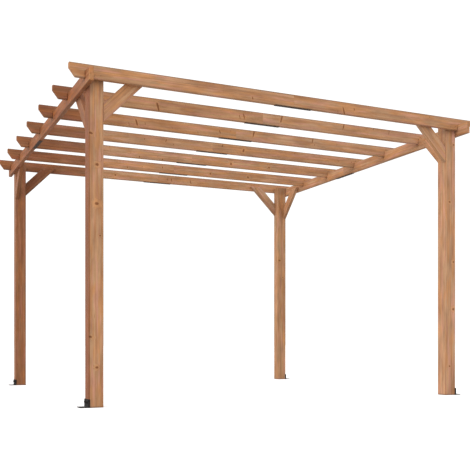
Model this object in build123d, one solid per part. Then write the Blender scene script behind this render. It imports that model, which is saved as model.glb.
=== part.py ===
from build123d import *
import math
import os

# A free-standing timber pergola: four square posts, a beam along each side, rafters lapped over the beams,
# a pair of braces at each post, steel plates under the joins in the long timbers and a steel foot on each post.
# X runs along the rafters, Y from the front to the rear, Z up; the origin is on the ground in mid plan.

# Plan and posts, in millimetres
SPAN_X = 3000.0
SPAN_Y = 3000.0
POST_W = 100.0
POST_H = 2175.0
POST_ARRIS_R = 7.0

# Side beams, bolted to the outer faces of the posts with their tops level with the post tops
BEAM_T = 30.0
BEAM_H = 90.0
BEAM_TAIL = 105.0
BEAM_JOIN_BACK = 180.0

# Rafters, half lapped over the beams, with a short upright nose and a slanting cut at each end
RAFTER_COUNT = 7
RAFTER_T = 30.0
RAFTER_H = 90.0
RAFTER_TAIL = 105.0
RAFTER_NOSE_H = 35.0
RAFTER_CUT_RUN = 42.0
LAP_SHARE = 0.5
LAP_CLEARANCE = 0.5

# Braces, cut upright at the post and level at the top, set at half a right angle
BRACE_T = 30.0
BRACE_W = 88.0
BRACE_DROP = 262.0
BRACE_LAP_SHARE = 0.5
BRACE_ANGLE = 45.0

# Steel plates under the joins
PLATE_L = 300.0
PLATE_T = 3.0

# Steel feet on the outer side face of each post, with short lips turned round the post's edges
FOOT_LEG = 55.0
FOOT_T = 4.0
FOOT_LIP = 9.0
FOOT_INSET = 5.0
FOOT_BEND_R = 4.0
ANCHOR_HOLE_R = 5.0
ANCHOR_SPACING_SHARE = 5 / 9
ANCHOR_REACH_SHARE = 0.6

# How far a cutting shape runs past the piece that it cuts
CUT_OVERRUN = 10.0

# Levels and places worked out from the sizes above
beam_top = POST_H
beam_bottom = beam_top - BEAM_H
rafter_bottom = beam_top - LAP_SHARE * RAFTER_H
rafter_top = rafter_bottom + RAFTER_H
post_face_x = SPAN_X / 2
post_face_y = SPAN_Y / 2
beam_end_y = post_face_y + RAFTER_T + BEAM_TAIL
rafter_end_x = post_face_x + BEAM_T + RAFTER_TAIL
rafter_pitch = (SPAN_Y + RAFTER_T) / (RAFTER_COUNT - 1)

SIDES = {"left": -1, "right": 1}
ENDS = {"front": -1, "rear": 1}


def block(x0, x1, y0, y1, z0, z1):
    """A square-edged block between two corners."""
    size = Box(abs(x1 - x0), abs(y1 - y0), abs(z1 - z0))
    return Pos((x0 + x1) / 2, (y0 + y1) / 2, (z0 + z1) / 2) * size


def upright_profile(points, thickness):
    """A board cut to an outline in the XZ plane, with its thickness running from y = 0 towards +Y."""
    outline = make_face(Polyline(*points, close=True))
    board = extrude(Plane.XZ * outline, amount=thickness)
    return Pos(0, thickness, 0) * board


def save(shape, node):
    """Write one named piece."""
    export_step(shape, f"parts/{node}.step")


def post(side, end):
    """One square post with its long edges eased."""
    shaft = block(
        side * post_face_x, side * (post_face_x - POST_W),
        end * post_face_y, end * (post_face_y - POST_W),
        0, POST_H)
    return fillet(shaft.edges().filter_by(Axis.Z), POST_ARRIS_R)


def beam_length(side, end):
    """The front or the rear length of a side beam, square cut, meeting the other behind mid span."""
    return block(
        side * post_face_x, side * (post_face_x + BEAM_T),
        BEAM_JOIN_BACK, end * beam_end_y,
        beam_bottom, beam_top)


def rafter_front_face(row):
    """The y of a rafter's front face: the first and last rafters lie on the posts' outer faces."""
    return -post_face_y - RAFTER_T + row * rafter_pitch


def rafter_half(side, row):
    """Half a rafter, from mid span out to its shaped end, notched to sit down on the beam."""
    outline = [
        (0, rafter_bottom),
        (side * (rafter_end_x - RAFTER_CUT_RUN), rafter_bottom),
        (side * rafter_end_x, rafter_top - RAFTER_NOSE_H),
        (side * rafter_end_x, rafter_top),
        (0, rafter_top),
    ]
    board = Pos(0, rafter_front_face(row), 0) * upright_profile(outline, RAFTER_T)
    notch = block(
        side * (post_face_x - LAP_CLEARANCE), side * (post_face_x + BEAM_T + LAP_CLEARANCE),
        rafter_front_face(row) - CUT_OVERRUN, rafter_front_face(row) + RAFTER_T + CUT_OVERRUN,
        rafter_bottom - CUT_OVERRUN, beam_top)
    return board - notch


def brace_outline(carrier_h):
    """A brace's outline: x out from the post's face, z up from the underside of what it holds."""
    slope = math.tan(math.radians(BRACE_ANGLE))
    upright_cut = BRACE_W / math.cos(math.radians(BRACE_ANGLE))
    top = BRACE_LAP_SHARE * carrier_h
    reach = (BRACE_DROP + top) / slope
    return [
        (0, -BRACE_DROP),
        (reach, top),
        (reach - upright_cut / slope, top),
        (0, upright_cut - BRACE_DROP),
    ]


def rafter_brace(side, end):
    """The brace from a post to the front or rear rafter, lapped on that rafter's inner face."""
    outline = [
        (side * (post_face_x - POST_W - x), rafter_bottom + z)
        for x, z in brace_outline(RAFTER_H)
    ]
    lowest_y = min(end * post_face_y, end * (post_face_y - BRACE_T))
    return Pos(0, lowest_y, 0) * upright_profile(outline, BRACE_T)


def beam_brace(side, end):
    """The brace from a post to the side beam, lapped on that beam's inner face."""
    outline = [
        (end * (post_face_y - POST_W - x), beam_bottom + z)
        for x, z in brace_outline(BEAM_H)
    ]
    highest_x = max(side * post_face_x, side * (post_face_x - BRACE_T))
    return Pos(highest_x, 0, 0) * Rot(0, 0, 90) * upright_profile(outline, BRACE_T)


def rafter_plate(row):
    """The steel plate under the join in a rafter."""
    return block(
        -PLATE_L / 2, PLATE_L / 2,
        rafter_front_face(row), rafter_front_face(row) + RAFTER_T,
        rafter_bottom - PLATE_T, rafter_bottom)


def beam_plate(side):
    """The steel plate under the join in a side beam."""
    return block(
        side * post_face_x, side * (post_face_x + BEAM_T),
        BEAM_JOIN_BACK - PLATE_L / 2, BEAM_JOIN_BACK + PLATE_L / 2,
        beam_bottom - PLATE_T, beam_bottom)


def foot_bracket(side, end):
    """A bent steel foot: a leg up the post's outer side face with a lip at each edge, and a flange on the ground."""
    flange_w = POST_W - 2 * FOOT_INSET
    middle_y = end * (post_face_y - POST_W / 2)
    foot = block(
        side * post_face_x, side * (post_face_x + FOOT_T),
        middle_y - POST_W / 2 - FOOT_T, middle_y + POST_W / 2 + FOOT_T,
        0, FOOT_LEG)
    foot += block(
        side * post_face_x, side * (post_face_x + FOOT_LEG),
        middle_y - flange_w / 2, middle_y + flange_w / 2,
        0, FOOT_T)
    inner_corner = foot.edges().filter_by(Axis.Y).sort_by_distance(
        (side * (post_face_x + FOOT_T), middle_y, FOOT_T))[0]
    foot = fillet(inner_corner, FOOT_BEND_R)
    spacing = ANCHOR_SPACING_SHARE * flange_w
    hole_x = side * (post_face_x + ANCHOR_REACH_SHARE * FOOT_LEG)
    for step in (-1, 1):
        hole_y = middle_y + step * spacing / 2
        edge_y = middle_y + step * POST_W / 2
        foot -= Pos(hole_x, hole_y, FOOT_T / 2) * Cylinder(ANCHOR_HOLE_R, FOOT_T + CUT_OVERRUN)
        foot += block(
            side * (post_face_x - FOOT_LIP), side * (post_face_x + FOOT_T),
            edge_y, edge_y + step * FOOT_T,
            0, FOOT_LEG)
    return foot


os.makedirs("parts", exist_ok=True)

for side_name, side in SIDES.items():
    for end_name, end in ENDS.items():
        corner = f"{end_name}_{side_name}"
        save(post(side, end), f"{corner}_post")
        save(rafter_brace(side, end), f"{corner}_rafter_brace")
        save(beam_brace(side, end), f"{corner}_beam_brace")
        save(foot_bracket(side, end), f"{corner}_foot_bracket")
        save(beam_length(side, end), f"{side_name}_beam_{end_name}_length")
    save(beam_plate(side), f"{side_name}_beam_join_plate")

for row in range(RAFTER_COUNT):
    for side_name, side in SIDES.items():
        save(rafter_half(side, row), f"rafter_{row + 1}_{side_name}_half")
    save(rafter_plate(row), f"rafter_{row + 1}_join_plate")
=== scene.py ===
# %% [markdown]
# # A timber pergola
# The real object is a garden pergola in planed pine with a warm brown stain: four posts, a beam down
# each side, seven rafters lapped over the beams, eight braces, and a little black steel at the joins
# and feet. The CAD frame fixes every size and place. Here each timber gets eased edges and solid-wood
# grain of its own, and the steel gets a painted finish and the screws that hold it.

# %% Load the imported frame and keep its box
import math
import random

import bmesh
import bpy
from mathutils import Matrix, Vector


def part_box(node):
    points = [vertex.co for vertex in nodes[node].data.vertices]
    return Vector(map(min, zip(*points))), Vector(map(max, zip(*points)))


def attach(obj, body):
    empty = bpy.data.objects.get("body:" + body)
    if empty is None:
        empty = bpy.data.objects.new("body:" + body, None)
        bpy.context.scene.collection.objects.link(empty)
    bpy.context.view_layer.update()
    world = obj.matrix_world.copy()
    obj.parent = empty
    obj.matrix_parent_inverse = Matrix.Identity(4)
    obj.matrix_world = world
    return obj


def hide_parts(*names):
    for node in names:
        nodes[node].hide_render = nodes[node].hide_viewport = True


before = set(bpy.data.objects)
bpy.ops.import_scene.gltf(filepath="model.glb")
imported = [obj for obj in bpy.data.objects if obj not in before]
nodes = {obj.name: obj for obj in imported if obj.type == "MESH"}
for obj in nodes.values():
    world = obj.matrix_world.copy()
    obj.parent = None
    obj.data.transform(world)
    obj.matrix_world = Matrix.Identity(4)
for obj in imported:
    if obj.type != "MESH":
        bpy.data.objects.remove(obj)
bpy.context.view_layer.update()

# %% [markdown]
# ## The camera
# The picture was taken low, from in front and to the left, with upright lines kept upright. A level
# camera whose lens is shifted up does that, where a tilted camera would make the posts lean together.

# %% Set up the camera
PICTURE_SIDE_PX = 470
LENS_PX = 792.69
AXIS_PX = (239.31, 340.912)
TURN_TO_RIGHT_DEG = 24.807
CAMERA_PLACE = (-2.7705, -6.5784, 0.4349)
SENSOR_MM = 36.0

camera_data = bpy.data.cameras.new("photo_camera")
camera_data.sensor_fit = "HORIZONTAL"
camera_data.sensor_width = SENSOR_MM
camera_data.lens = LENS_PX / PICTURE_SIDE_PX * SENSOR_MM
camera_data.shift_x = (PICTURE_SIDE_PX / 2 - AXIS_PX[0]) / PICTURE_SIDE_PX
camera_data.shift_y = (AXIS_PX[1] - PICTURE_SIDE_PX / 2) / PICTURE_SIDE_PX
camera = bpy.data.objects.new("photo_camera", camera_data)
camera.location = CAMERA_PLACE
camera.rotation_euler = (math.radians(90), 0, -math.radians(TURN_TO_RIGHT_DEG))
bpy.context.scene.collection.objects.link(camera)
bpy.context.scene.camera = camera
lens_shift = [round(shift, 4) for shift in (camera_data.shift_x, camera_data.shift_y)]
print("Lens", round(camera_data.lens, 2), "mm, shift", lens_shift)

# %% [markdown]
# ## Writing finishes as sums
# A finish is a graph of nodes. Written one link at a time, its sums can't be read. So a small class wraps
# a node's output, and ordinary arithmetic on it adds the Math nodes. Any other node comes from one method.

# %% A value that runs through a finish
class Flow:
    """One output of a node; sums on it add Math nodes."""

    def __init__(self, finish, socket):
        self.finish = finish
        self.socket = socket

    def math(self, operation, *others):
        values = [self, *others]
        return self.finish.node("ShaderNodeMath", {"operation": operation}, dict(enumerate(values)))

    def __add__(self, other):
        return self.math("ADD", other)

    __radd__ = __add__

    def __sub__(self, other):
        return self.math("SUBTRACT", other)

    def __rsub__(self, other):
        return self.finish.node("ShaderNodeMath", {"operation": "SUBTRACT"}, {0: other, 1: self})

    def __mul__(self, other):
        return self.math("MULTIPLY", other)

    __rmul__ = __mul__

    def __truediv__(self, other):
        return self.math("DIVIDE", other)

    def __abs__(self):
        return self.math("ABSOLUTE")

    def ramp(self, start, end, low=0.0, high=1.0):
        """A smooth step from low at start to high at end."""
        settings = {"interpolation_type": "SMOOTHSTEP"}
        sockets = {0: self, 1: start, 2: end, 3: low, 4: high}
        return self.finish.node("ShaderNodeMapRange", settings, sockets)


print("Flow helper ready")


# %% A finish, which is a material and its nodes
class Finish:
    """A material whose nodes are added by one method."""

    def __init__(self, name):
        self.material = bpy.data.materials.new(name)
        self.material.use_nodes = True
        self.tree = self.material.node_tree
        self.tree.nodes.clear()

    def node(self, kind, settings=None, sockets=None, out=0):
        made = self.tree.nodes.new(kind)
        for key, value in (settings or {}).items():
            setattr(made, key, value)
        for key, value in (sockets or {}).items():
            if isinstance(value, Flow):
                self.tree.links.new(value.socket, made.inputs[key])
            else:
                made.inputs[key].default_value = value
        return Flow(self, made.outputs[out]) if len(made.outputs) else made

    def attribute(self, name, out="Vector"):
        return self.node("ShaderNodeAttribute", {"attribute_name": name}, out=out)

    def parts(self, vector):
        return [self.node("ShaderNodeSeparateXYZ", None, {0: vector}, out=axis) for axis in "XYZ"]

    def vector(self, x, y, z):
        return self.node("ShaderNodeCombineXYZ", None, {0: x, 1: y, 2: z})

    def noise(self, place, scale=1.0, detail=2.0, rough=0.5, out=0):
        sockets = {"Vector": place, "Scale": scale, "Detail": detail, "Roughness": rough}
        return self.node("ShaderNodeTexNoise", None, sockets, out=out)

    def blend(self, share, first, second, how="MIX"):
        settings = {"data_type": "RGBA", "blend_type": how, "clamp_factor": False}
        return self.node("ShaderNodeMix", settings, {0: share, 6: first, 7: second}, out=2)

    def tinted(self, colour, tint):
        return self.blend(1.0, colour, tint, "MULTIPLY")

    def surface(self, constants, varying):
        shader = self.node("ShaderNodeBsdfPrincipled", None, {**constants, **varying})
        self.node("ShaderNodeOutputMaterial", None, {0: shader})
        return self.material


print("Finish helper ready")

# %% [markdown]
# ## Solid pine
# Wood is not a picture glued on a board. It is a stack of growth rings round a pith, and a saw cuts
# through them. So every timber carries its own grain coordinates: how far along the trunk a point is,
# and how far from the pith. One finish reads those. Long faces then show stripes and flame figure, and
# end faces show arcs, on the same board. Knots are branches: cones that leave the pith, cut across
# wherever they meet a face, with rings bending round them. Fine drying checks run with the fibres.

# %% A pith that wanders
PITH_WANDER = 0.016
WANDER_SLANT = 0.35
WANDER_RATE = 0.8
NOISE_MIDDLE = 0.5

pine = Finish("stained_pine")
along, from_pith_w, from_pith_t = pine.parts(pine.attribute("grain"))
drift_place = pine.vector(along, along * WANDER_SLANT, 0.0)
drift_w, drift_t, _ = pine.parts(pine.noise(drift_place, WANDER_RATE, detail=1.0, rough=0.4, out=1))
ring_w = from_pith_w + (drift_w - NOISE_MIDDLE) * PITH_WANDER
ring_t = from_pith_t + (drift_t - NOISE_MIDDLE) * PITH_WANDER
radius = (ring_w * ring_w + ring_t * ring_t).math("SQRT")
print("The pith wanders by up to", PITH_WANDER * 1000 / 2, "mm")


# %% Noise drawn out along the grain
def grain_noise(stretch, fineness, detail, rough, shift=None):
    """Noise with its own pace along a timber and across it."""
    lengthwise = along * stretch
    if shift is not None:
        lengthwise = lengthwise + shift
    place = pine.vector(lengthwise, from_pith_w * fineness, from_pith_t * fineness)
    return pine.noise(place, 1.0, detail, rough)


ragged = grain_noise(stretch=90.0, fineness=90.0, detail=2.0, rough=0.6)
fibre = grain_noise(stretch=2.2, fineness=260.0, detail=4.0, rough=0.62)
streak = grain_noise(stretch=2.0, fineness=55.0, detail=3.0, rough=0.55)
broad = grain_noise(stretch=6.0, fineness=26.0, detail=3.0, rough=0.55)
hue = grain_noise(stretch=5.0, fineness=36.0, detail=2.0, rough=0.5, shift=40.0)
rosy = grain_noise(stretch=3.6, fineness=44.0, detail=2.0, rough=0.5, shift=90.0)
drying = grain_noise(stretch=1.4, fineness=70.0, detail=1.0, rough=0.4, shift=20.0)
print("Grain noises bring the pine to", len(pine.tree.nodes), "nodes")

# %% Branches that leave the pith as knots
KNOTS_PER_TIMBER = 7
KNOT_LEAN = 0.28
KNOT_TAPER_DEPTH = 0.06
KNOT_LEAST_TAPER = 0.05
KNOT_SQUASH = 1.5
KNOT_RAGGED = (0.6, 0.8)
AHEAD_OF_PITH = (0.0, 0.004)
CORE_SPAN = (1.3, 0.5)
RIM_OUTSIDE = (1.5, 1.0)
RIM_INSIDE = (0.3, 1.0)
PUSH_SPAN = (4.5, 0.8)


def knot_shape(number):
    """One knot: its dark core, its rim, and how much it pushes the rings outwards."""
    place, direction, size = pine.parts(pine.attribute(f"knot_{number}"))
    cos_dir = direction.math("COSINE")
    sin_dir = direction.math("SINE")
    out = from_pith_w * cos_dir + from_pith_t * sin_dir
    aside = from_pith_t * cos_dir - from_pith_w * sin_dir
    lengthwise = along - place - out * KNOT_LEAN
    distance = (lengthwise * lengthwise * KNOT_SQUASH + aside * aside).math("SQRT")
    taper = (out / KNOT_TAPER_DEPTH).math("MINIMUM", 1.0).math("MAXIMUM", KNOT_LEAST_TAPER)
    thickness = size * taper
    depth = distance / thickness * (KNOT_RAGGED[0] + ragged * KNOT_RAGGED[1])
    ahead = out.ramp(*AHEAD_OF_PITH)
    core = depth.ramp(*CORE_SPAN) * ahead
    rim = depth.ramp(*RIM_OUTSIDE) * depth.ramp(*RIM_INSIDE) * ahead
    push = depth.ramp(*PUSH_SPAN) * ahead * thickness
    return core, rim, push


knots = [knot_shape(number) for number in range(1, KNOTS_PER_TIMBER + 1)]
knot_core, knot_rim, knot_push = knots[0]
for core, rim, push in knots[1:]:
    knot_core = knot_core.math("MAXIMUM", core)
    knot_rim = knot_rim.math("MAXIMUM", rim)
    knot_push = knot_push.math("MAXIMUM", push)
print("Room for", KNOTS_PER_TIMBER, "knots in a timber")

# %% Earlywood, latewood and drying checks
RING_WIDTH = 0.0062
RING_BEND = 0.8
STREAK_WARP = 1.4
FIBRE_WARP = 0.35
LATE_RISE = (0.42, 0.86)
LATE_FALL = (1.0, 0.93)
CHECK_WIDTH = (0.010, 0.002)
CHECK_PATCHES = (0.52, 0.64)

ring_count = (radius + knot_push * RING_BEND) / RING_WIDTH
ring_count = ring_count + (streak - NOISE_MIDDLE) * STREAK_WARP + (fibre - NOISE_MIDDLE) * FIBRE_WARP
in_ring = ring_count.math("FRACT")
latewood = in_ring.ramp(*LATE_RISE) * in_ring.ramp(*LATE_FALL)
check = abs(drying - NOISE_MIDDLE).ramp(*CHECK_WIDTH) * broad.ramp(*CHECK_PATCHES)
print("Solid pine uses", len(pine.tree.nodes), "nodes so far")

# %% [markdown]
# ### The stain, with painted shade and light
# The stain soaks into soft earlywood and slides off hard latewood, so stripes stay soft. Some fibres take
# it pinker and some more orange. Sawn ends and eased edges drink more of it and go darker, and knots
# darker still. Post tops under the roof carry painted shade, post feet a thin line of painted shade, and
# rafter tails out from the roof painted light. Each timber has its own tint, as boards come from different
# trees. Left-hand timbers carry painted shade, darker and redder.

# %% Colours of the stained wood
TAN = (0.515, 0.300, 0.162, 1.0)
LATE = (0.350, 0.160, 0.074, 1.0)
PINK = (0.580, 0.282, 0.190, 1.0)
ORANGE = (0.545, 0.258, 0.105, 1.0)
KNOT_HEART = (0.200, 0.066, 0.020, 1.0)
KNOT_RIM = (0.145, 0.050, 0.017, 1.0)
LEAST_LIGHT = 0.50

# Each coat of colour: where it lies and how strongly, then the colour
coats = [
    (hue.ramp(0.42, 0.60), ORANGE),
    (rosy.ramp(0.50, 0.64) * 0.85, PINK),
    (latewood * 0.55, LATE),
    (streak.ramp(0.38, 0.68) * 0.62, LATE),
    (fibre.ramp(0.30, 0.75) * 0.26, LATE),
    (knot_push.ramp(0.0, 0.010) * 0.65, ORANGE),
    (knot_core * 0.92, KNOT_HEART),
    (knot_rim * 0.40, KNOT_RIM),
    (check * 0.45, KNOT_RIM),
]
wood = TAN
for share, colour in coats:
    wood = pine.blend(share, wood, colour)
lightness = LEAST_LIGHT + broad
wood = pine.tinted(wood, pine.vector(lightness, lightness, lightness))
wood = pine.tinted(wood, pine.attribute("tint"))
print(len(coats), "coats of colour over the tan")

# %% Where edges are darker and where painted shade lies on left-hand lengths
ARRIS_REACH = 0.010
UPPER_HALF = (0.0, 0.01)
LEFT_SHADE_STREAKS = 0.5
DEEP_LEFT_SHADE_SPAN = (2.4, 3.0)
DEEP_LEFT_SHADE = 0.12

section_w, section_t, section_l = pine.parts(pine.attribute("section"))
half_w, half_t, half_l = pine.parts(pine.attribute("half_size"))
edge_w = half_w - abs(section_w)
edge_t = half_t - abs(section_t)
edge_l = half_l - abs(section_l)
nearer = edge_w.math("MINIMUM", edge_t)
farther = edge_w.math("MAXIMUM", edge_t)
arris = nearer.math("MAXIMUM", farther.math("MINIMUM", edge_l))
# The third part of this attribute is painted shade under the roof
edge_above, edge_elsewhere, roof_shade = pine.parts(pine.attribute("stain"))
edge_stain = edge_elsewhere + (edge_above - edge_elsewhere) * section_w.ramp(*UPPER_HALF)
arris_stain = arris.ramp(ARRIS_REACH, 0.0) * (0.5 + fibre * 0.5) * edge_stain
end_face = pine.attribute("end_face", "Fac")
# These ramps give painted shade, darker and redder, on left-hand timbers
left_shade_start = pine.attribute("left_shade", "Fac") + (streak - NOISE_MIDDLE) * LEFT_SHADE_STREAKS
left_shade = left_shade_start.ramp(0.0, 1.0) + left_shade_start.ramp(*DEEP_LEFT_SHADE_SPAN) * DEEP_LEFT_SHADE
print("Edge stain reaches", ARRIS_REACH * 1000, "mm in from an edge")

# %% Stain the edges and ends; paint shade on tops, feet and left-hand parts, and light on tails
# First a stain for edges that also serves as painted shade on post tops and feet, then painted shade for
# left-hand timbers and painted light for rafter tails
EDGE_STAIN_AND_SHADE = (0.130, 0.072, 0.042, 1.0)
LEFT_SHADE = (0.61, 0.48, 0.42, 1.0)
TAIL_LIGHT = (1.12, 1.14, 1.12, 1.0)
ROOF_SHADE_DEPTH = 0.42
ROOF_SHADE_PATCHES = (0.30, 0.60, 0.5, 1.0)
# A thin line of painted shade at each post's foot
FOOT_SHADE_HEIGHT = 0.013
FOOT_SHADE_WAVES = 0.012
END_STAIN = 0.12

# Painted shade, darker and redder, on left-hand timbers, then painted light on rafter tails
wood = pine.blend(left_shade, wood, pine.tinted(wood, LEFT_SHADE))
# Painted light on rafter tails
tail_light = pine.attribute("tail_light", "Fac").ramp(0.0, 1.0)
wood = pine.blend(tail_light, wood, pine.tinted(wood, TAIL_LIGHT))
wood = pine.blend(arris_stain, wood, EDGE_STAIN_AND_SHADE)
# Painted shade at post tops under the roof
roof_shade_share = roof_shade.ramp(0.0, 1.0) * broad.ramp(*ROOF_SHADE_PATCHES) * ROOF_SHADE_DEPTH
wood = pine.blend(roof_shade_share, wood, EDGE_STAIN_AND_SHADE)
# Painted shade line at post feet
painted_foot_shade = (section_l + half_l + (streak - NOISE_MIDDLE) * FOOT_SHADE_WAVES).ramp(FOOT_SHADE_HEIGHT, 0.0)
wood = pine.blend(painted_foot_shade * pine.attribute("foot_shade", "Fac"), wood, EDGE_STAIN_AND_SHADE)
wood = pine.blend(end_face * END_STAIN, wood, LATE)
# Prints the height of the painted shade line at post feet
print("Damp line", FOOT_SHADE_HEIGHT * 1000, "mm up a post")

# %% Sheen and relief of the planed face
PLANED_ROUGHNESS = 0.60
RELIEF_STRENGTH = 0.35
RELIEF_HEIGHT = 0.0006
PINE_SPECULAR = 0.22

sheen = PLANED_ROUGHNESS + latewood * -0.08 + fibre * 0.16 + end_face * 0.15
relief = latewood * 0.5 + fibre * 0.55 + streak * 0.3 - knot_rim * 0.6 - check
bump = pine.node("ShaderNodeBump", None, {
    "Strength": RELIEF_STRENGTH, "Distance": RELIEF_HEIGHT, "Height": relief})
stained_pine = pine.surface({"Specular IOR Level": PINE_SPECULAR}, {
    "Base Color": wood, "Roughness": sheen, "Normal": bump})
print("Stained pine:", len(pine.tree.nodes), "nodes")

# %% [markdown]
# ## Shaping a timber
# A planer leaves flat faces and a router takes the sharp corner off. The CAD node is already the right
# shape, so its triangles are joined back into flat faces on a copy and every outward corner is rounded
# over. A Bevel modifier would do it too, but it would also round the inside of the notches. Picking the
# outward edges avoids that.

# %% Join the triangles and find the outward edges
WELD = 1e-5
FLAT_ANGLE = math.radians(2)


def flat_faces(node):
    """A copy of a CAD node with its triangles joined back into flat faces."""
    shape = bmesh.new()
    shape.from_mesh(nodes[node].data)
    bmesh.ops.remove_doubles(shape, verts=shape.verts, dist=WELD)
    bmesh.ops.dissolve_limit(shape, angle_limit=FLAT_ANGLE, verts=shape.verts, edges=shape.edges)
    for face in shape.faces:
        face.smooth = False
    return shape


def outward_edges(shape, least_angle):
    """The edges that stick out and turn by more than an angle."""
    return [e for e in shape.edges if e.is_convex and e.calc_face_angle(0.0) > least_angle]


def ease(shape, edges, size, steps):
    """Round edges over, with the new strips shaded smooth."""
    made = bmesh.ops.bevel(
        shape, geom=edges, offset=size, offset_type="OFFSET", segments=steps, profile=0.5,
        affect="EDGES", clamp_overlap=True)
    for face in made["faces"]:
        face.smooth = True


print("Shaping helpers ready")

# %% A planed board
CORNER_ANGLE = math.radians(20)
BOARD_ARRIS = 0.0035
BOARD_ARRIS_STEPS = 3
BUTT_ARRIS = 0.0006


def planed_board(node, butt_axis=None, butt_at=0.0):
    """A board from its CAD node, with its outward edges eased, least of all at a butt join."""
    shape = flat_faces(node)

    def at_butt(edge):
        return butt_axis is not None and all(abs(v.co[butt_axis] - butt_at) < WELD for v in edge.verts)

    outward = outward_edges(shape, CORNER_ANGLE)
    ease(shape, [e for e in outward if not at_butt(e)], BOARD_ARRIS, BOARD_ARRIS_STEPS)
    butt_edges = [e for e in shape.edges if at_butt(e)]
    if butt_edges:
        ease(shape, butt_edges, BUTT_ARRIS, 1)
    return shape


print("Board edges are eased by", BOARD_ARRIS * 1000, "mm")

# %% A post is rounder along its length
POST_ARRIS = 0.007
POST_ARRIS_STEPS = 6
POST_END_ARRIS = 0.002
POST_END_ARRIS_STEPS = 2
LEVEL_NORMAL = 0.5


def looks_up_or_down(face):
    """Whether a face is level."""
    return abs(face.normal.z) > LEVEL_NORMAL


def rounded_post(node):
    """A square post with its four long edges well rounded and its two ends just eased."""
    low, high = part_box(node)
    shape = bmesh.new()
    bmesh.ops.create_cube(shape, size=1.0)
    for corner in shape.verts:
        corner.co = [low[i] + (corner.co[i] + 0.5) * (high[i] - low[i]) for i in range(3)]
    upright = [e for e in shape.edges if abs(e.verts[0].co.z - e.verts[1].co.z) > WELD]
    ease(shape, upright, POST_ARRIS, POST_ARRIS_STEPS)
    rims = [e for e in shape.edges if len({looks_up_or_down(f) for f in e.link_faces}) == 2]
    ease(shape, rims, POST_END_ARRIS, POST_END_ARRIS_STEPS)
    return shape


print("Post edges are rounded to", POST_ARRIS * 1000, "mm")

# %% [markdown]
# ## Giving each timber its grain
# The finish needs to know, at every point of a board, where it lies in the trunk that the board was sawn
# from. Those places are stored on the mesh as named attributes. They change evenly over a flat face, so
# four corners are enough to carry them. Which knots a board has is chosen by a fixed seed, or given where
# the picture shows one.

# %% The directions and middle of a timber
GRAIN_STARTS = 60
PLAIN_EDGES = (0.35, 0.35)


class Timber:
    """What the finish has to know about one board: its directions, its trunk and its tint."""

    def __init__(self, node, length_way, width_way, middle=None, half=None):
        low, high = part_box(node)
        self.node = node
        self.length_way = Vector(length_way).normalized()
        self.width_way = Vector(width_way).normalized()
        self.thin_way = self.length_way.cross(self.width_way)
        self.middle = Vector(middle) if middle is not None else (low + high) / 2
        spread = high - low
        ways = (self.width_way, self.thin_way, self.length_way)
        self.half = half or [abs(spread.dot(Vector(map(abs, way)))) / 2 for way in ways]
        self.random = random.Random(f"pine {node}")
        self.start = self.random.uniform(0, GRAIN_STARTS)
        self.tint = (1.0, 1.0, 1.0)
        self.tint_at = lambda place: self.tint
        # The next four carry painted light on rafter tails and painted shade at post feet, on left-hand
        # parts and under the roof
        self.tail_light = lambda place: 0.0
        self.foot_shade = 0.0
        self.left_shade = lambda place: 0.0
        self.roof_shade = lambda place: 0.0
        self.edges = PLAIN_EDGES
        self.pith = (0.0, 0.0)
        self.knots = []

    def sections(self, place):
        offset = Vector(place) - self.middle
        return [offset.dot(way) for way in (self.width_way, self.thin_way, self.length_way)]


print("Timber helper ready")

# %% Choose a trunk and its knots
BOXED_PITH_SHARE = 0.4
SAWN_PITH_SHARE = 0.6
PITH_OUTSIDE = (0.012, 0.045)
KNOT_SLACK = (0.15, 0.85)
KNOT_ACROSS_SHARE = 0.8
KNOT_SIZE = (0.0012, 0.0040)


def choose_trunk(timber, boxed_heart):
    """Where the pith ran and where branches left it. A flat-sawn board has its pith beyond a wide face."""
    pick = timber.random
    reach_w, reach_t, reach_l = timber.half
    if boxed_heart:
        pith_w = pick.uniform(-BOXED_PITH_SHARE, BOXED_PITH_SHARE) * reach_w
        pith_t = pick.uniform(-BOXED_PITH_SHARE, BOXED_PITH_SHARE) * reach_t
    else:
        beyond = reach_t + pick.uniform(*PITH_OUTSIDE)
        pith_w = pick.uniform(-SAWN_PITH_SHARE, SAWN_PITH_SHARE) * reach_w
        pith_t = pick.choice((-1, 1)) * beyond
    timber.pith = SEEN_HEARTS.get(timber.node, (pith_w, pith_t))
    spacing = 2 * reach_l / KNOTS_PER_TIMBER
    for number in range(KNOTS_PER_TIMBER):
        place = -reach_l + spacing * (number + pick.uniform(*KNOT_SLACK))
        face_w = pick.uniform(-KNOT_ACROSS_SHARE, KNOT_ACROSS_SHARE)
        face_t = pick.choice((-1, 1))
        if boxed_heart and pick.random() < 0.5:
            face_w, face_t = face_t, face_w
        add_branch(timber, place, face_w * reach_w, face_t * reach_t, pick.uniform(*KNOT_SIZE))


def add_branch(timber, place, w, t, size):
    """A branch from the pith that comes out at a point of the board: along it, then across both ways."""
    run_w = w - timber.pith[0]
    run_t = t - timber.pith[1]
    lean = KNOT_LEAN * math.hypot(run_w, run_t)
    timber.knots.append((place - lean, math.atan2(run_t, run_w), size))


print("Chosen knots are", KNOT_SIZE[0] * 1000, "to", KNOT_SIZE[1] * 1000, "mm in radius")

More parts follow.
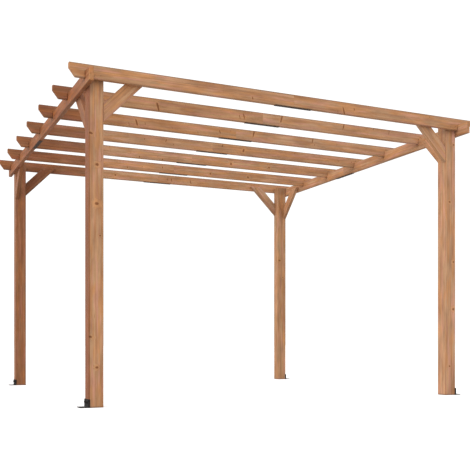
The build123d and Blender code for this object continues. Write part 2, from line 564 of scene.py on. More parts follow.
# %% Hearts and knots that the picture shows
# A heart is the pith's place up from a rafter's middle line, then forwards from it, in metres. A knot is
# where a branch comes out on the front face: along the rafter or up the post, then across, and its radius.
DEEP_HEART = (0.010, -0.050)
SEEN_HEARTS = {
    "rafter_1_left_half": (0.030, -0.030),
    "rafter_1_right_half": (0.060, -0.006),
    "rafter_2_left_half": (0.065, -0.004),
    "rafter_2_right_half": (-0.065, -0.004),
    "rafter_3_left_half": (0.065, -0.004),
    "rafter_3_right_half": (-0.065, -0.006),
    "rafter_4_left_half": (-0.060, -0.012),
    "rafter_4_right_half": (-0.050, -0.025),
    "rafter_5_left_half": DEEP_HEART,
    "rafter_5_right_half": DEEP_HEART,
    "rafter_6_left_half": DEEP_HEART,
    "rafter_6_right_half": DEEP_HEART,
    "rafter_7_left_half": DEEP_HEART,
    "rafter_7_right_half": (0.065, -0.006),
}
SEEN_KNOTS = {
    "rafter_1_left_half": [(-0.333, -0.024, 0.0056)],
    "rafter_1_right_half": [(0.425, -0.026, 0.0075)],
    "rafter_2_left_half": [(-0.864, -0.016, 0.0077), (-0.164, 0.0, 0.0056), (-0.200, -0.01, 0.0037)],
    "rafter_2_right_half": [(0.165, 0.018, 0.0072), (0.741, 0.024, 0.0060), (1.19, 0.02, 0.0037)],
    "rafter_3_left_half": [(-0.870, 0.0, 0.0076), (-0.931, -0.024, 0.0026), (-0.148, 0.0, 0.0042)],
    "rafter_3_right_half": [(0.165, 0.020, 0.0075), (0.741, 0.024, 0.0056)],
    "rafter_4_left_half": [(-0.443, 0.01, 0.0050), (-0.375, -0.014, 0.0034)],
    "rafter_4_right_half": [(0.095, 0.022, 0.0056), (0.306, 0.0, 0.0100)],
    "rafter_5_left_half": [(-0.524, -0.031, 0.0065), (-0.299, -0.034, 0.0065)],
    "rafter_5_right_half": [(0.407, -0.01, 0.0105), (0.824, -0.01, 0.0090)],
    "rafter_6_left_half": [(-0.488, -0.023, 0.0065), (-0.122, 0.008, 0.0060)],
    "rafter_6_right_half": [(0.831, -0.01, 0.0095), (0.40, -0.01, 0.0090)],
    "rafter_7_left_half": [(-0.467, -0.003, 0.0090)],
    "rafter_7_right_half": [(0.112, 0.0, 0.0042), (0.156, 0.0, 0.0056), (0.377, -0.006, 0.0060)],
    "front_left_post": [
        (1.786, -0.036, 0.0087), (1.585, 0.007, 0.0098), (1.330, 0.003, 0.0112), (1.122, 0.026, 0.0056),
        (0.462, -0.039, 0.0077), (0.262, 0.004, 0.0085)],
    "front_right_post": [
        (2.015, 0.030, 0.0090), (1.553, -0.009, 0.0078), (1.071, 0.030, 0.0092), (0.691, 0.028, 0.0120),
        (0.232, -0.011, 0.0070)],
    "rear_right_post": [(1.348, -0.028, 0.0118), (1.159, 0.012, 0.0077)],
}


def seen_knots(timber):
    """Put the knots that the picture shows before the chosen ones, which then count only for the rest."""
    chosen = timber.knots
    timber.knots = []
    front = -math.copysign(1.0, timber.thin_way.y) * timber.half[1]
    for place, across, size in SEEN_KNOTS.get(timber.node, []):
        add_branch(timber, place - timber.middle.dot(timber.length_way), across, front, size)
    timber.knots += chosen[len(timber.knots):]


print(sum(map(len, SEEN_KNOTS.values())), "knots set where the picture shows them")

# %% Write the grain on the mesh and finish the piece
END_FACE_NORMAL = 0.6


def store(mesh, name, values, kind="FLOAT_VECTOR", domain="POINT"):
    """Put one named value on every point or face of a mesh."""
    layer = mesh.attributes.new(name, kind, domain)
    flat = [x for value in values for x in value] if kind == "FLOAT_VECTOR" else values
    layer.data.foreach_set("vector" if kind == "FLOAT_VECTOR" else "value", flat)


def linked_piece(name, shape, finish):
    """A shape as a mesh object in one finish."""
    mesh = bpy.data.meshes.new(name)
    shape.to_mesh(mesh)
    shape.free()
    mesh.materials.append(finish)
    piece = bpy.data.objects.new(name, mesh)
    bpy.context.scene.collection.objects.link(piece)
    print(name, len(mesh.polygons), "faces")
    return piece


def finish_timber(timber, shape, name):
    """Turn a shaped board into a finished piece that stands for its CAD node."""
    piece = linked_piece(name, shape, stained_pine)
    mesh = piece.data
    places = [v.co.copy() for v in mesh.vertices]
    section = [timber.sections(place) for place in places]
    pith_w, pith_t = timber.pith
    store(mesh, "section", section)
    store(mesh, "grain", [(l + timber.start, w - pith_w, t - pith_t) for w, t, l in section])
    store(mesh, "half_size", [timber.half] * len(places))
    store(mesh, "tint", [timber.tint_at(place) for place in places])
    # The third part of the stain attribute is painted shade under the roof
    store(mesh, "stain", [(*timber.edges, timber.roof_shade(place)) for place in places])
    for number, (place, direction, size) in enumerate(timber.knots, start=1):
        store(mesh, f"knot_{number}", [(place + timber.start, direction, size)] * len(places))
    # Painted shade on left-hand timbers and at post feet, and painted light on rafter tails
    store(mesh, "left_shade", [timber.left_shade(place) for place in places], "FLOAT")
    store(mesh, "foot_shade", [timber.foot_shade] * len(places), "FLOAT")
    store(mesh, "tail_light", [timber.tail_light(place) for place in places], "FLOAT")
    ends = [float(abs(face.normal.dot(timber.length_way)) > END_FACE_NORMAL) for face in mesh.polygons]
    store(mesh, "end_face", ends, "FLOAT", "FACE")
    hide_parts(timber.node)
    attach(piece, "root")


print("Timbers can be finished")

# %% [markdown]
# ## Posts
# Each post is a whole square of pine with the pith inside it, so all four faces show stripes that run
# straight up and knots on every side. The near left post is paler on its front face and has painted
# shade, darker and redder, on its left face; the rear left post has it all over. Every post has painted
# shade at its top under the roof and a thin line of painted shade at its foot.

# %% Post tints, and where a post has painted shade
POST_TINT = {
    "front_left": (1.0, 1.0, 1.0),
    "front_right": (1.02, 1.04, 1.08),
    "rear_left": (1.05, 1.07, 1.05),
    "rear_right": (0.94, 0.96, 0.94),
}
# The near left post's left face gets painted shade, darker and redder
ARRIS_START_X = -1.4900
ARRIS_RUN = 0.0030
LEFT_FACE_X = -1.4995
LEFT_FACE_SHADE_TINT = (1.0, 0.93, 0.86)
SHADED_THROUGH = 2.0
# Post tops get painted shade from this height up
ROOF_SHADE_FROM_Z = 2.075
ROOF_SHADE_RUN = 0.055


def shaded_left_face(place):
    """Painted shade on the left face only, fading out round the rounded edge."""
    return (ARRIS_START_X - place.x) / ARRIS_RUN


def left_face_shade_tint(place):
    """The near left post's own tint, with painted shade deeper on its left face."""
    return LEFT_FACE_SHADE_TINT if place.x < LEFT_FACE_X else POST_TINT["front_left"]


def shaded_all_over(place):
    """Painted shade over a whole board."""
    return SHADED_THROUGH


def painted_shade_under_roof(place):
    """Painted shade at the top of a post, under rafter and beam."""
    return (place.z - ROOF_SHADE_FROM_Z) / ROOF_SHADE_RUN


POST_LEFT_SHADE = {"front_left": shaded_left_face, "rear_left": shaded_all_over}
print("Posts are darker from", ROOF_SHADE_FROM_Z, "m up")

# %% Make the four posts
CORNERS = [(end, side) for end in ("front", "rear") for side in ("left", "right")]
# How much painted shade each post's foot gets
POST_FOOT_SHADE = 0.55
POST_EDGES = (0.20, 0.20)
for end, side in CORNERS:
    corner = f"{end}_{side}"
    timber = Timber(f"{corner}_post", (0, 0, 1), (1, 0, 0))
    choose_trunk(timber, boxed_heart=True)
    seen_knots(timber)
    timber.tint = POST_TINT[corner]
    timber.roof_shade = painted_shade_under_roof
    timber.foot_shade = POST_FOOT_SHADE
    timber.edges = POST_EDGES
    timber.left_shade = POST_LEFT_SHADE.get(corner, timber.left_shade)
    if corner == "front_left":
        timber.tint_at = left_face_shade_tint
    finish_timber(timber, rounded_post(timber.node), f"post_{end}_{side}")

# %% [markdown]
# ## Side beams
# Two lengths of board make each beam. They lie flat against the posts' outer faces with their tops level.
# The left beam carries painted shade, darker and redder than the right one, but not on its sawn front end.

# %% Make the beam lengths
BEAM_JOIN_Y = 0.180
BEAM_FRONT_Y = -1.634
END_RUN = 0.004
# The left beam's tint is painted shade, darker and redder; the right beam's is its own tint
BEAM_TINT_AND_SHADE = {"left": (1.02, 0.91, 0.75), "right": (0.96, 0.96, 0.97)}
BEAM_EDGES = (0.60, 0.35)
BUTT_CLEAR = 0.02


def shaded_but_for_front_end(place):
    """Painted shade over a whole board but for its sawn front end, which stays paler."""
    return min(SHADED_THROUGH, (place.y - BEAM_FRONT_Y) / END_RUN)


for end, side in CORNERS:
    timber = Timber(f"{side}_beam_{end}_length", (0, 1, 0), (0, 0, 1))
    choose_trunk(timber, boxed_heart=False)
    timber.tint = BEAM_TINT_AND_SHADE[side]
    timber.edges = BEAM_EDGES
    if side == "left":
        timber.left_shade = shaded_but_for_front_end
    timber.half[2] += BUTT_CLEAR
    finish_timber(timber, planed_board(timber.node, 1, BEAM_JOIN_Y), f"beam_{side}_{end}")

# %% [markdown]
# ## Rafters
# Seven rafters, each of two boards that meet at mid span over a steel plate. Behind the first one, their
# left ends carry painted shade, darker and redder, which comes in over about a hand's width. The boards
# came in batches of a warmer, cooler or deeper tint. From the fourth rafter back, the tails that stick
# out on the left carry a little painted light.

# %% Painted shade on left ends, painted light on tails, and batches of boards
# Where painted shade begins on each rafter's left end
LEFT_SHADE_FROM_X = (None, -1.34, -1.20, -1.08, -0.94, -0.81, -0.68)
LEFT_SHADE_RUN = 0.16
REAR_LEFT_SHADE_FROM_X = -1.42
# Left tails get painted light from here out
TAIL_FROM_X = -1.505
TAIL_RUN = 0.030
WARM_BATCH = (0.965, 0.945, 0.89)
COOL_BATCH = (1.01, 1.065, 1.13)
DEEP_BATCH = (0.955, 0.965, 0.965)
REAR_BATCH = (0.975, 1.005, 1.03)
RAFTER_BATCH = {
    "left": (None, WARM_BATCH, WARM_BATCH, COOL_BATCH, COOL_BATCH, None, REAR_BATCH),
    "right": (None, COOL_BATCH, COOL_BATCH, DEEP_BATCH, DEEP_BATCH, DEEP_BATCH, DEEP_BATCH),
}


def left_end_shade(node, start_x):
    """How much painted shade a left end has: it comes in past a start, farther out on the rear face."""
    low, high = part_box(node)

    def share(place):
        depth = (place.y - low.y) / (high.y - low.y)
        start = start_x + (REAR_LEFT_SHADE_FROM_X - start_x) * depth
        return (start + LEFT_SHADE_RUN / 2 - place.x) / LEFT_SHADE_RUN

    return share


def painted_light_on_tail(place):
    """Painted light on a left end that sticks out from the roof."""
    return (TAIL_FROM_X - place.x) / TAIL_RUN


print("Left ends redden over", LEFT_SHADE_RUN, "m")

# %% Make the rafter halves
RAFTER_COUNT = 7
FIRST_LIT_TAIL_ROW = 3
RAFTER_EDGES = (0.95, 0.30)
for row in range(RAFTER_COUNT):
    for side in ("left", "right"):
        timber = Timber(f"rafter_{row + 1}_{side}_half", (1, 0, 0), (0, 0, 1))
        choose_trunk(timber, boxed_heart=False)
        seen_knots(timber)
        timber.half[2] += BUTT_CLEAR
        timber.edges = RAFTER_EDGES
        timber.tint = RAFTER_BATCH[side][row] or timber.tint
        # Rafters from the fourth back get painted light on their left tails
        if row >= FIRST_LIT_TAIL_ROW:
            timber.tail_light = painted_light_on_tail
        if side == "left" and LEFT_SHADE_FROM_X[row] is not None:
            timber.left_shade = left_end_shade(timber.node, LEFT_SHADE_FROM_X[row])
        finish_timber(timber, planed_board(timber.node, 0), f"rafter_{row + 1}_{side}")

# %% [markdown]
# ## Braces
# A brace is a short board at half a right angle, cut upright at the post and level at the top. Its grain
# runs up its slope, so its length and width are turned with it. Three braces on the left carry painted
# shade, darker and redder; the rear left one under its rafter is darker still, most of all on its edges.

# %% Make the braces
# The rear left one's tint is painted shade; the others are their own tints
BRACE_TINT_AND_SHADE = {
    "front_right_rafter": (1.06, 1.10, 1.16),
    "rear_left_rafter": (0.79, 0.75, 0.77),
    "rear_right_rafter": (0.97, 1.08, 1.20),
}
DARK_EDGED = "rear_left_rafter"
DARK_EDGES = (0.95, 0.95)
# These braces get painted shade, darker and redder, all over
SHADED_BRACES = ("front_left_beam", "rear_left_beam", "rear_left_rafter")
BRACE_W = 0.088
BRACE_T = 0.03
BRACE_MIDDLE = 0.20
BRACE_KNOT_SPREAD = 0.2
# Longer than a brace, so that its slanting ends don't count as dark edges
BRACE_STAIN_HALF = 1.0
UP = Vector((0, 0, 1))
brace_toes = {}
for end, side in CORNERS:
    inward_x = Vector((1 if side == "left" else -1, 0, 0))
    inward_y = Vector((0, 1 if end == "front" else -1, 0))
    for carrier, inward in (("rafter", inward_x), ("beam", inward_y)):
        brace = f"{end}_{side}_{carrier}"
        node = f"{brace}_brace"
        low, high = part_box(node)
        upslope = (inward + UP).normalized()
        outslope = (UP - inward).normalized()
        toe = [(low[i] + high[i] - inward[i] * (high[i] - low[i])) / 2 for i in range(3)]
        toe[2] = low.z
        brace_toes[node] = (Vector(toe), inward)
        middle = Vector(toe) + upslope * BRACE_MIDDLE + outslope * (BRACE_W / 2)
        half = [BRACE_W / 2, BRACE_T / 2, BRACE_STAIN_HALF]
        timber = Timber(node, upslope, outslope, middle, half)
        choose_trunk(timber, boxed_heart=False)
        timber.knots = [(place * BRACE_KNOT_SPREAD, way, size) for place, way, size in timber.knots]
        timber.tint = BRACE_TINT_AND_SHADE.get(brace, timber.tint)
        if brace == DARK_EDGED:
            timber.edges = DARK_EDGES
        if brace in SHADED_BRACES:
            timber.left_shade = shaded_all_over
        finish_timber(timber, planed_board(node), f"brace_{end}_{side}_to_{carrier}")

# %% [markdown]
# ## Painted steel
# The plates and feet are pressed steel with a satin coat: a fine orange-peel skin, clouds and scuffs where
# the coat is thin, and a little dust on faces that look up. The feet are black. The plates are a browner
# black, near the timber.

# %% The two coats
DUST = (0.120, 0.100, 0.084, 1.0)
BLACK = (0.014, 0.012, 0.011, 1.0)
BLACK_THIN = (0.036, 0.031, 0.028, 1.0)
BROWN = (0.070, 0.042, 0.030, 1.0)
BROWN_THIN = (0.105, 0.070, 0.052, 1.0)
COAT_ROUGHNESS = 0.58
COAT_SPECULAR = 0.12
PEEL_STRENGTH = 0.2
PEEL_HEIGHT = 0.0002


def satin_coat(name, dark, thin):
    """Paint on steel that passes from a dark colour to a paler one where it is thin."""
    coat = Finish(name)
    place = coat.node("ShaderNodeTexCoord", out="Object")
    peel = coat.noise(place, 900.0, 2.0, 0.5)
    cloud = coat.noise(place, 26.0, 4.0, 0.6)
    scuff = coat.noise(place, 140.0, 5.0, 0.7)
    look_up = coat.parts(coat.node("ShaderNodeNewGeometry", out="Normal"))[2]
    dust = look_up.ramp(0.6, 1.0) * cloud.ramp(0.40, 0.70)
    paint = coat.blend(cloud.ramp(0.35, 0.75) * 0.6, dark, thin)
    paint = coat.blend(scuff.ramp(0.66, 0.74) * 0.35, paint, thin)
    paint = coat.blend(dust * 0.35, paint, DUST)
    satin = COAT_ROUGHNESS + cloud * 0.18 + dust * 0.20
    skin = coat.node("ShaderNodeBump", None, {
        "Strength": PEEL_STRENGTH, "Distance": PEEL_HEIGHT, "Height": peel})
    print(name, len(coat.tree.nodes), "nodes")
    return coat.surface({"Specular IOR Level": COAT_SPECULAR}, {
        "Base Color": paint, "Roughness": satin, "Normal": skin})


black_coat = satin_coat("black_coat", BLACK, BLACK_THIN)
brown_coat = satin_coat("brown_coat", BROWN, BROWN_THIN)

# %% [markdown]
# ### Plates and feet
# Sheet steel has a small radius on every cut edge, so plates and feet are eased copies of their CAD
# nodes. The two anchor holes in each foot stay open, because whoever sets the pergola up has to bolt
# through them.

# %% Ease the steel
STEEL_ARRIS = 0.0006
STEEL_ARRIS_STEPS = 2
HOLE_ANGLE = math.radians(35)


def eased_steel(node, name, finish):
    """A steel piece from its CAD node, with its outward edges just broken."""
    shape = flat_faces(node)
    ease(shape, outward_edges(shape, HOLE_ANGLE), STEEL_ARRIS, STEEL_ARRIS_STEPS)
    piece = linked_piece(name, shape, finish)
    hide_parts(node)
    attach(piece, "root")


for row in range(RAFTER_COUNT):
    eased_steel(f"rafter_{row + 1}_join_plate", f"join_plate_rafter_{row + 1}", brown_coat)
for side in ("left", "right"):
    eased_steel(f"{side}_beam_join_plate", f"join_plate_beam_{side}", brown_coat)
for end, side in CORNERS:
    eased_steel(f"{end}_{side}_foot_bracket", f"foot_{end}_{side}", black_coat)

# %% [markdown]
# ## Screws and bolts
# The timbers are held by countersunk screws with a six-pointed drive, and each foot by two hexagon-headed
# bolts. There are over a hundred, so one head of each kind is drawn in Geometry Nodes and set on points
# that know which way their screw faces. A factory stamps its screws alike too. The result is kept as a
# plain mesh.

# %% A Geometry Nodes tree with named sizes
SPIN_SEED = 5


class Maker:
    """A tree that puts one head on every point; its nodes are added by one method."""

    def __init__(self, name, sizes):
        self.sizes = sizes
        self.tree = bpy.data.node_groups.new(name, "GeometryNodeTree")
        self.tree.interface.new_socket("Points", in_out="INPUT", socket_type="NodeSocketGeometry")
        self.tree.interface.new_socket("Finish", in_out="INPUT", socket_type="NodeSocketMaterial")
        for label in sizes:
            self.tree.interface.new_socket(label, in_out="INPUT", socket_type="NodeSocketFloat")
        self.tree.interface.new_socket("Heads", in_out="OUTPUT", socket_type="NodeSocketGeometry")
        self.given = self.tree.nodes.new("NodeGroupInput").outputs
        self.result = self.tree.nodes.new("NodeGroupOutput").inputs

    def add(self, kind, settings=None, sockets=None):
        made = self.tree.nodes.new(kind)
        for key, value in (settings or {}).items():
            setattr(made, key, value)
        open_inputs = {socket.name: socket for socket in made.inputs if socket.enabled}
        for key, value in (sockets or {}).items():
            socket = made.inputs[key] if isinstance(key, int) else open_inputs[key]
            for one in value if isinstance(value, list) else [value]:
                if isinstance(one, bpy.types.NodeSocket):
                    self.tree.links.new(one, socket)
                else:
                    socket.default_value = one
        return [socket for socket in made.outputs if socket.enabled][0]

    def geometry(self, kind, sockets):
        return self.add("GeometryNode" + kind, None, sockets)

    def math(self, operation, first, second):
        return self.add("ShaderNodeMath", {"operation": operation}, {0: first, 1: second})

    def times(self, size, factor):
        return self.math("MULTIPLY", size, factor)

    def join(self, shapes):
        return self.geometry("JoinGeometry", {"Geometry": shapes})

    def lift(self, shape, height):
        offset = self.add("ShaderNodeCombineXYZ", None, {"Z": height})
        return self.geometry("Transform", {"Geometry": shape, "Translation": offset})

    def filled(self, curve, height):
        return self.lift(self.geometry("FillCurve", {"Curve": curve}), height)

    def place(self, head):
        """Face each head its own way, spin it by a fixed random amount, and make it all one mesh."""
        spin = self.add("FunctionNodeRandomValue", {"data_type": "FLOAT"}, {
            "Max": math.tau, "Seed": SPIN_SEED})
        turned = self.add("FunctionNodeAxisAngleToRotation", None, {"Axis": (0, 0, 1), "Angle": spin})
        facing = self.add("GeometryNodeInputNamedAttribute", {"data_type": "FLOAT_VECTOR"}, {
            "Name": "facing"})
        aimed = self.add("FunctionNodeAlignRotationToVector", {"axis": "Z"}, {
            "Rotation": turned, "Vector": facing})
        points = self.geometry("MeshToPoints", {"Mesh": self.given["Points"]})
        heads = self.geometry("InstanceOnPoints", {
            "Points": points, "Instance": head, "Rotation": aimed})
        whole = self.geometry("RealizeInstances", {"Geometry": heads})
        dressed = self.geometry("SetMaterial", {
            "Geometry": whole, "Material": self.given["Finish"]})
        self.tree.links.new(dressed, self.result["Heads"])


print("Head maker ready")

# %% A countersunk head with a six-pointed drive
SCREW_SIZES = {
    "Head width": 0.0088, "Drive width": 0.0046, "Drive depth": 0.0016, "Rim": 0.0010, "Proud": 0.0003}
DRIVE_POINTS = 6
DRIVE_NOTCH_SHARE = 0.72
SCREW_SIDES = 16

screw = Maker("countersunk_heads", SCREW_SIZES)
given = screw.given
head_radius = screw.times(given["Head width"], 0.5)
drive_radius = screw.times(given["Drive width"], 0.5)
drive_notch = screw.times(drive_radius, DRIVE_NOTCH_SHARE)
outline = screw.geometry("CurvePrimitiveCircle", {
    "Resolution": SCREW_SIDES, "Radius": head_radius})
drive = screw.geometry("CurveStar", {
    "Points": DRIVE_POINTS, "Inner Radius": drive_notch, "Outer Radius": drive_radius})
top = screw.filled(screw.join([outline, drive]), given["Proud"])
drive_face = screw.filled(drive, given["Proud"])
pocket_depth = screw.times(given["Drive depth"], -1.0)
pocket = screw.geometry("ExtrudeMesh", {
    "Mesh": drive_face, "Offset Scale": pocket_depth})
base = screw.filled(outline, screw.times(given["Rim"], -1.0))
rim_height = screw.math("ADD", given["Rim"], given["Proud"])
rim_node = screw.geometry("ExtrudeMesh", {
    "Mesh": base, "Offset Scale": rim_height}).node
rim = screw.add("GeometryNodeDeleteGeometry", {"domain": "FACE"}, {
    "Geometry": rim_node.outputs["Mesh"], "Selection": rim_node.outputs["Top"]})
screw.place(screw.join([top, pocket, rim]))
print("Screw tree:", len(screw.tree.nodes), "nodes")

# %% A hexagon head on a washer
BOLT_SIZES = {
    "Head width": 0.0150, "Head height": 0.0055, "Washer width": 0.0200, "Washer height": 0.0016}
WASHER_SIDES = 20
HEXAGON_SIDES = 6
CROWN_SHARE = 0.82

bolt = Maker("hexagon_heads", BOLT_SIZES)
given = bolt.given
half_washer = bolt.times(given["Washer height"], 0.5)
washer_radius = bolt.times(given["Washer width"], 0.5)
washer = bolt.geometry("MeshCylinder", {
    "Vertices": WASHER_SIDES, "Radius": washer_radius, "Depth": given["Washer height"]})
washer = bolt.lift(washer, half_washer)
hexagon_radius = bolt.times(given["Head width"], 0.5)
hexagon = bolt.geometry("MeshCylinder", {
    "Vertices": HEXAGON_SIDES, "Radius": hexagon_radius, "Depth": given["Head height"]})
hexagon_middle = bolt.times(given["Head height"], 0.5)
hexagon = bolt.lift(hexagon, bolt.math("ADD", hexagon_middle, given["Washer height"]))
crown_radius = bolt.times(hexagon_radius, CROWN_SHARE)
crown = bolt.geometry("MeshCone", {
    "Vertices": HEXAGON_SIDES, "Radius Bottom": hexagon_radius, "Radius Top": crown_radius,
    "Depth": half_washer})
crown = bolt.lift(crown, bolt.math("ADD", given["Head height"], given["Washer height"]))
bolt.place(bolt.join([washer, hexagon, crown]))
print("Bolt tree:", len(bolt.tree.nodes), "nodes")

# %% [markdown]
# ### Where they go
# Two screws take each beam and each outer rafter to a post. Inner rafters are screwed aslant through their
# sides into the beam. A brace has two screws through its lap and two aslant into the post, on its hidden
# side. Four go up through each plate, two into each board, and two bolts hold each foot.

# %% Screws and bolts at the corners
SIGN = {"left": -1, "right": 1, "front": -1, "rear": 1}
BEAM_SCREW_ASIDE = 0.025
BEAM_SCREW_DOWN = 0.022
RAFTER_SCREW_ASIDE = 0.022
RAFTER_SCREW_UP = 0.004
BOLT_OUT = 0.054
BOLT_ASIDE = 0.026
BOLT_HEIGHT = 0.036
LAP_SCREWS = ((0.194, 0.288), (0.250, 0.282))
TOE_SCREWS = ((0.026, 0.062), (0.030, 0.118))
TOE_SCREW_SLANT = 0.5
timber_screws, plate_screws, foot_bolts = [], [], []
for end, side in CORNERS:
    out_x, out_y = SIGN[side], SIGN[end]
    post_low, post_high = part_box(f"{end}_{side}_post")
    post_mid = (post_low + post_high) / 2
    beam_low, beam_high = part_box(f"{side}_beam_{end}_length")
    beam_x = max(beam_low.x * out_x, beam_high.x * out_x) * out_x
    beam_z = (beam_low.z + beam_high.z) / 2
    rafter_low, rafter_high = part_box(f"rafter_{1 if end == 'front' else RAFTER_COUNT}_{side}_half")
    rafter_y = max(rafter_low.y * out_y, rafter_high.y * out_y) * out_y
    lap_z = (rafter_low.z + post_high.z) / 2
    bolt_x = out_x * (abs(post_mid.x) + BOLT_OUT)
    for step in (-1, 1):
        in_beam = (beam_x, post_mid.y + step * BEAM_SCREW_ASIDE, beam_z - step * BEAM_SCREW_DOWN)
        in_rafter = (post_mid.x + step * RAFTER_SCREW_ASIDE, rafter_y, lap_z + step * RAFTER_SCREW_UP)
        timber_screws.append((in_beam, (out_x, 0, 0)))
        timber_screws.append((in_rafter, (0, out_y, 0)))
        foot_bolts.append(((bolt_x, post_mid.y + step * BOLT_ASIDE, BOLT_HEIGHT), (out_x, 0, 0)))
    for carrier, across in (("rafter", Vector((0, -out_y, 0))), ("beam", Vector((-out_x, 0, 0)))):
        toe, inward = brace_toes[f"{end}_{side}_{carrier}_brace"]
        face = toe + across * (BRACE_T / 2)
        for reach, height in LAP_SCREWS:
            timber_screws.append((face + inward * reach + UP * height, across))
        for reach, height in TOE_SCREWS:
            aslant = across + inward * TOE_SCREW_SLANT
            timber_screws.append((face + inward * reach + UP * height, aslant))
print(len(timber_screws), "timber screws and", len(foot_bolts), "foot bolts at the corners")

# %% Screws through the inner rafters and the plates
SIDE_SCREW_PROUD = 0.0012
SIDE_SCREW_DOWN = 0.026
SIDE_SCREW_SLANT = 0.7
PLATE_SCREWS = (-0.115, -0.040, 0.040, 0.115)
for row in range(1, RAFTER_COUNT - 1):
    for side in ("left", "right"):
        low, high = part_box(f"rafter_{row + 1}_{side}_half")
        beam_low, beam_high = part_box(f"{side}_beam_front_length")
        over_beam = (beam_low.x + beam_high.x) / 2
        for face_y, way in ((low.y, -1), (high.y, 1)):
            place = (over_beam, face_y + way * SIDE_SCREW_PROUD, high.z - SIDE_SCREW_DOWN)
            timber_screws.append((place, (0, way, SIDE_SCREW_SLANT)))
for row in range(RAFTER_COUNT):
    low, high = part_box(f"rafter_{row + 1}_join_plate")
    middle = (low + high) / 2
    plate_screws += [((x, middle.y, low.z), (0, 0, -1)) for x in PLATE_SCREWS]
for side in ("left", "right"):
    low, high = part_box(f"{side}_beam_join_plate")
    middle = (low + high) / 2
    plate_screws += [((middle.x, middle.y + y, low.z), (0, 0, -1)) for y in PLATE_SCREWS]
print(len(timber_screws), "timber screws and", len(plate_screws), "plate screws in all")

# %% A bronze coat for the timber screws
BRONZE = (0.290, 0.155, 0.080, 1.0)
BRONZE_WORN = (0.370, 0.225, 0.130, 1.0)
BRONZE_ROUGHNESS = 0.42

bronze = Finish("bronze_coat")
bronze_place = bronze.node("ShaderNodeTexCoord", out="Object")
wear = bronze.noise(bronze_place, 700.0, 3.0, 0.6)
bronze_colour = bronze.blend(wear.ramp(0.45, 0.75), BRONZE, BRONZE_WORN)
bronze_coat = bronze.surface({"Metallic": 0.35, "Specular IOR Level": 0.3}, {
    "Base Color": bronze_colour, "Roughness": BRONZE_ROUGHNESS + wear * 0.2})
print("Bronze coat:", len(bronze.tree.nodes), "nodes")


# %% Set the heads on their places
def set_heads(maker, name, places, finish):
    """One mesh of all the heads of a kind."""
    points = bpy.data.meshes.new(f"{name}_places")
    points.from_pydata([tuple(place) for place, _ in places], [], [])
    store(points, "facing", [tuple(Vector(facing).normalized()) for _, facing in places])
    piece = bpy.data.objects.new(name, points)
    bpy.context.scene.collection.objects.link(piece)
    modifier = piece.modifiers.new("heads", "NODES")
    modifier.node_group = maker.tree
    values = {**maker.sizes, "Finish": finish}
    for item in maker.tree.interface.items_tree:
        if item.name in values:
            modifier[item.identifier] = values[item.name]
    ready = piece.evaluated_get(bpy.context.evaluated_depsgraph_get())
    heads = bpy.data.meshes.new_from_object(ready)
    heads.materials.clear()
    heads.materials.append(finish)
    heads.polygons.foreach_set("material_index", [0] * len(heads.polygons))
    piece.modifiers.clear()
    piece.data = heads
    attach(piece, "root")
    print(name, len(places), "heads,", len(heads.polygons), "faces")


set_heads(screw, "timber_screws", timber_screws, bronze_coat)
set_heads(screw, "plate_screws", plate_screws, brown_coat)
set_heads(bolt, "foot_bolts", foot_bolts, black_coat)

# %% [markdown]
# ## Floor and light
# A plain pale floor and a white surround, as in a picture studio, with one large soft lamp high on the
# left. The surround is brighter than the lamp's share, so shade stays open and no hard shadow falls on the
# floor. A floor that threw back as much light as it shows would wash out the undersides of the roof. So
# it shows nearly white and throws back half of the light.

# %% Pale floor
FLOOR_HALF = 60.0
FLOOR_DROP = 0.0008
FLOOR_LIGHT = (0.97, 0.97, 0.97, 1.0)
FLOOR_DARK = (0.95, 0.95, 0.95, 1.0)
FLOOR_BOUNCE = (0.50, 0.50, 0.50, 1.0)
FLOOR_GLOW = 0.12
WHITE = (1.0, 1.0, 1.0, 1.0)
FLOOR_MATT = {"Roughness": 0.9, "Specular IOR Level": 0.1}

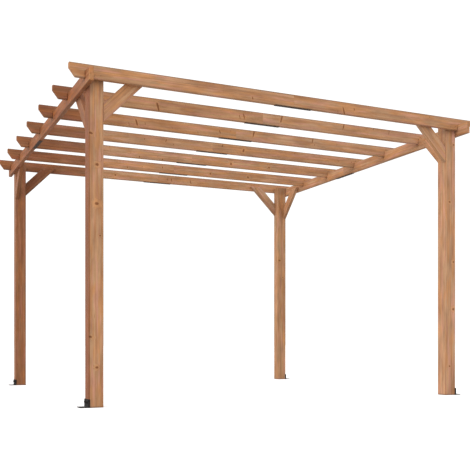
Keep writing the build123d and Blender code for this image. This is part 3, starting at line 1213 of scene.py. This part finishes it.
floor_finish = Finish("pale_floor")
floor_place = floor_finish.node("ShaderNodeTexCoord", out="Object")
speck = floor_finish.noise(floor_place, 3.0, 3.0, 0.5)
floor_colour = floor_finish.blend(speck, FLOOR_LIGHT, FLOOR_DARK)
white_floor = floor_finish.node("ShaderNodeBsdfPrincipled", None, {
    "Base Color": floor_colour, "Emission Color": WHITE, "Emission Strength": FLOOR_GLOW, **FLOOR_MATT})
grey_floor = floor_finish.node("ShaderNodeBsdfPrincipled", None, {
    "Base Color": FLOOR_BOUNCE, **FLOOR_MATT})
looked_at = floor_finish.node("ShaderNodeLightPath", out="Is Camera Ray")
both_floors = floor_finish.node("ShaderNodeMixShader", None, {
    0: looked_at, 1: grey_floor, 2: white_floor})
floor_finish.node("ShaderNodeOutputMaterial", None, {0: both_floors})

floor_corners = [
    (x * FLOOR_HALF, y * FLOOR_HALF, -FLOOR_DROP) for x, y in ((-1, -1), (1, -1), (1, 1), (-1, 1))]
floor_mesh = bpy.data.meshes.new("floor")
floor_mesh.from_pydata(floor_corners, [], [(0, 1, 2, 3)])
floor_mesh.materials.append(floor_finish.material)
floor = bpy.data.objects.new("floor", floor_mesh)
bpy.context.scene.collection.objects.link(floor)
print("Floor", FLOOR_HALF * 2, "m across")

# %% White surround
SURROUND_LIGHT = 1.12
world = bpy.data.worlds.new("white_surround")
bpy.context.scene.world = world
world.use_nodes = True
sky = world.node_tree
sky.nodes.clear()
white = sky.nodes.new("ShaderNodeBackground")
white.inputs["Color"].default_value = WHITE
white.inputs["Strength"].default_value = SURROUND_LIGHT
sky_out = sky.nodes.new("ShaderNodeOutputWorld")
sky.links.new(white.outputs[0], sky_out.inputs["Surface"])
bpy.context.scene.view_settings.view_transform = "Standard"
print("Surround strength", SURROUND_LIGHT)

# %% A soft key lamp
# It is a distant lamp, so that near and far timbers get the same light.
KEY_TOWARDS = (0.80, 0.25, -0.55)
KEY_STRENGTH = 1.35
KEY_SOFTNESS_DEG = 60.0
KEY_DISTANCE = 10
key_data = bpy.data.lights.new("key_lamp", "SUN")
key_data.energy = KEY_STRENGTH
key_data.angle = math.radians(KEY_SOFTNESS_DEG)
key_lamp = bpy.data.objects.new("key_lamp", key_data)
key_lamp.location = [-x * KEY_DISTANCE for x in KEY_TOWARDS]
key_lamp.rotation_euler = Vector(KEY_TOWARDS).to_track_quat("-Z", "Y").to_euler()
bpy.context.scene.collection.objects.link(key_lamp)
print("Key lamp strength", KEY_STRENGTH)
